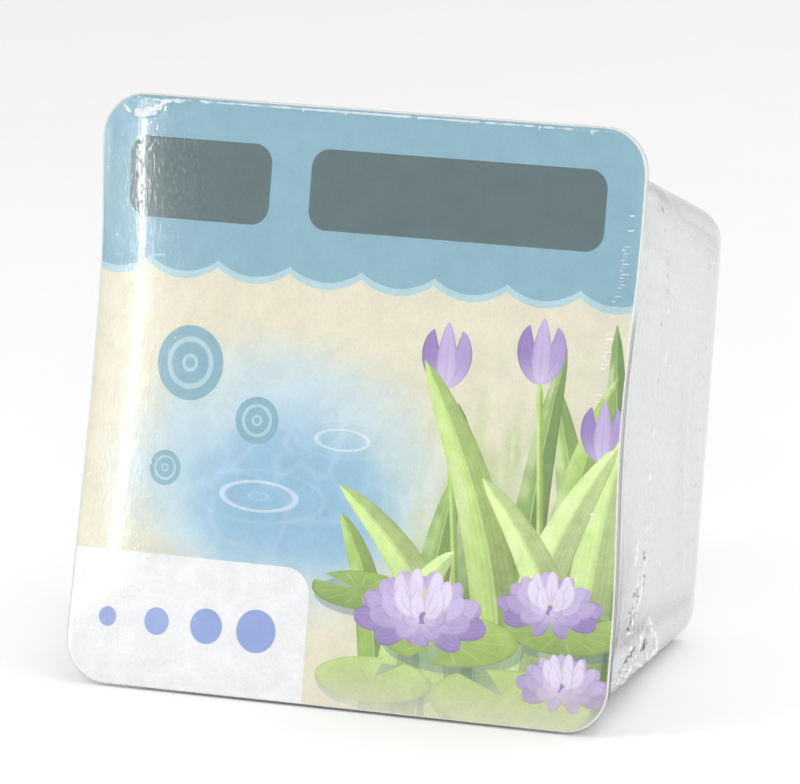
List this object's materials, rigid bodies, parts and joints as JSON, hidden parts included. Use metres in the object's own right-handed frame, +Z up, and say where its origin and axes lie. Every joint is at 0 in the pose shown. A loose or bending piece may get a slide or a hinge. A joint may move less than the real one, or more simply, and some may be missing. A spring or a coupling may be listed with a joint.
{
  "type": "water plant kit",
  "caption": "Sealed water garden planting kit: tapered square pot lying on its side, closed by a printed card lid and wrapped in clear shrink film.",
  "frame": {"origin": "middle of the pack's footprint on the ground it lies on", "axes": "+X across the card from its left to its right, +Y from the card towards the pot's base, +Z up; the card faces -Y and leans back"},
  "size_m": [0.1512, 0.1236, 0.1486],
  "materials": {
    "pot_plastic": "white moulded plastic, satin, with fine moulding grain",
    "printed_card": "board printed on its front face, with a white cut edge and a white back",
    "clear_film": "clear heat-shrunk film, glossy, with vent holes and a welded seam"
  },
  "bodies": {
    "root": {"pot": "pot_plastic", "lid_card": "printed_card", "shrink_film": "clear_film"}
  },
  "joints": []
}
